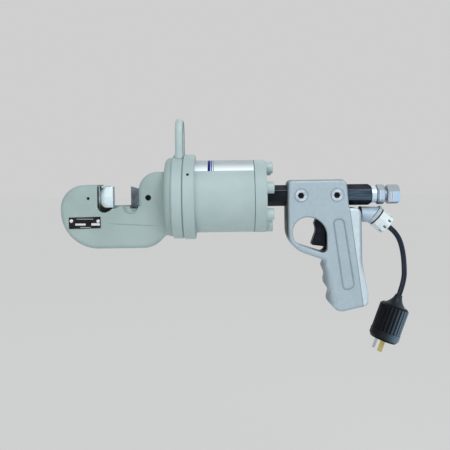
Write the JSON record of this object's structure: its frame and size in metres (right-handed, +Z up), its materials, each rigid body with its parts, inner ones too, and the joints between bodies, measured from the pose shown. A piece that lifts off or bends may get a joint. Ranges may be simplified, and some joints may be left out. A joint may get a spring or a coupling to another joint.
{
  "type": "hydraulic bar shear",
  "caption": "Hanging hydraulic shear: C-shaped jaw with a fixed and a ram-driven blade, spring-return cylinder, bail, hexagon feed bar, pistol grip with trigger, hose swivel and corded plug.",
  "frame": {"origin": "inside of the bail's crown, the point that the tool hangs from", "axes": "+X along the ram axis from the jaw to the hose, +Z up, -Y towards the side with the clamp screws"},
  "size_m": [0.4791, 0.118, 0.3282],
  "materials": {
    "paint": "satin grey-green enamel",
    "bright_steel": "ground",
    "dark_steel": "hardened, oiled",
    "black_bar": "black oxide",
    "zinc": "zinc plated",
    "steel": "turned",
    "plate": "black printed plate",
    "rivet": "plain",
    "label": "printed film",
    "grip_cast": "tumbled casting",
    "cover_cast": "tumbled casting",
    "connector_cast": "die cast",
    "black_plastic": "moulded",
    "black_rubber": "moulded",
    "seal_rubber": "moulded",
    "bronze": "turned",
    "brass": "stamped",
    "nickel": "plated"
  },
  "bodies": {
    "tool_body": {"jaw_frame": "paint", "bail_ring": "paint", "suspension_bail": "paint", "lock_ring": "paint", "cylinder_barrel": "paint", "rear_cap": "paint", "cap_screws": "paint", "fixed_blade": "bright_steel", "blade_seat": "dark_steel", "blade_set_screw": "dark_steel", "ram_guide_screw": "dark_steel", "lock_ring_screw": "dark_steel", "nameplate": "plate", "nameplate_rivets": "rivet", "barrel_label": "label", "feed_bar": "black_bar", "hose_adapter": "zinc", "clamp_screws": "zinc", "cover_screws": "zinc", "return_spring": "steel", "trigger_pin": "steel", "trigger_spring": "steel", "rod_wiper": "seal_rubber", "cap_seal": "seal_rubber", "gland_grommet": "seal_rubber", "connector_seal": "seal_rubber", "gland_seal": "seal_rubber", "guide_bush": "bronze", "grip_casting": "grip_cast", "grip_cover": "cover_cast", "cord_connector": "connector_cast", "gland_nut": "connector_cast", "switch_body": "black_plastic", "plug_shell": "black_plastic", "plug_face": "black_plastic", "supply_cord": "black_rubber", "plug_clamp": "black_rubber", "plug_blade_brass": "brass", "plug_blade_nickel": "nickel"},
    "ram": {"ram_rod": "steel", "moving_blade": "dark_steel", "blade_pin": "steel", "piston": "steel", "piston_bolt": "steel", "piston_seal": "seal_rubber", "piston_wear_ring": "bronze"},
    "trigger": {"trigger": "black_plastic"},
    "switch_plunger": {"switch_plunger": "black_plastic"},
    "swivel_nut": {"swivel_nut": "zinc"}
  },
  "joints": [
    {"name": "ram_slide", "type": "slide", "parent": "tool_body", "child": "ram", "axis": [-1, 0, 0], "range_m": [0, 0.0247], "stiffness_N_per_m": 4000, "springref_m": -0.02, "deforming": ["return_spring"]},
    {"name": "trigger_pull", "type": "hinge", "parent": "tool_body", "child": "trigger", "pos_m": [0.1967, 0, -0.1309], "axis": [0, -1, 0], "range_deg": [0, 9], "stiffness_Nm_per_rad": 1.2, "springref_deg": -17.19, "deforming": ["trigger_spring"]},
    {"name": "plunger_slide", "type": "slide", "parent": "tool_body", "child": "switch_plunger", "axis": [1, 0, 0], "range_m": [0, 0.004]},
    {"name": "swivel_nut_spin", "type": "hinge", "parent": "tool_body", "child": "swivel_nut", "pos_m": [0.2905, 0, -0.0984], "axis": [1, 0, 0], "continuous": true}
  ],
  "couplings": [
    {"joint": "plunger_slide", "follows": "trigger_pull", "m_per_rad": 0.025}
  ]
}
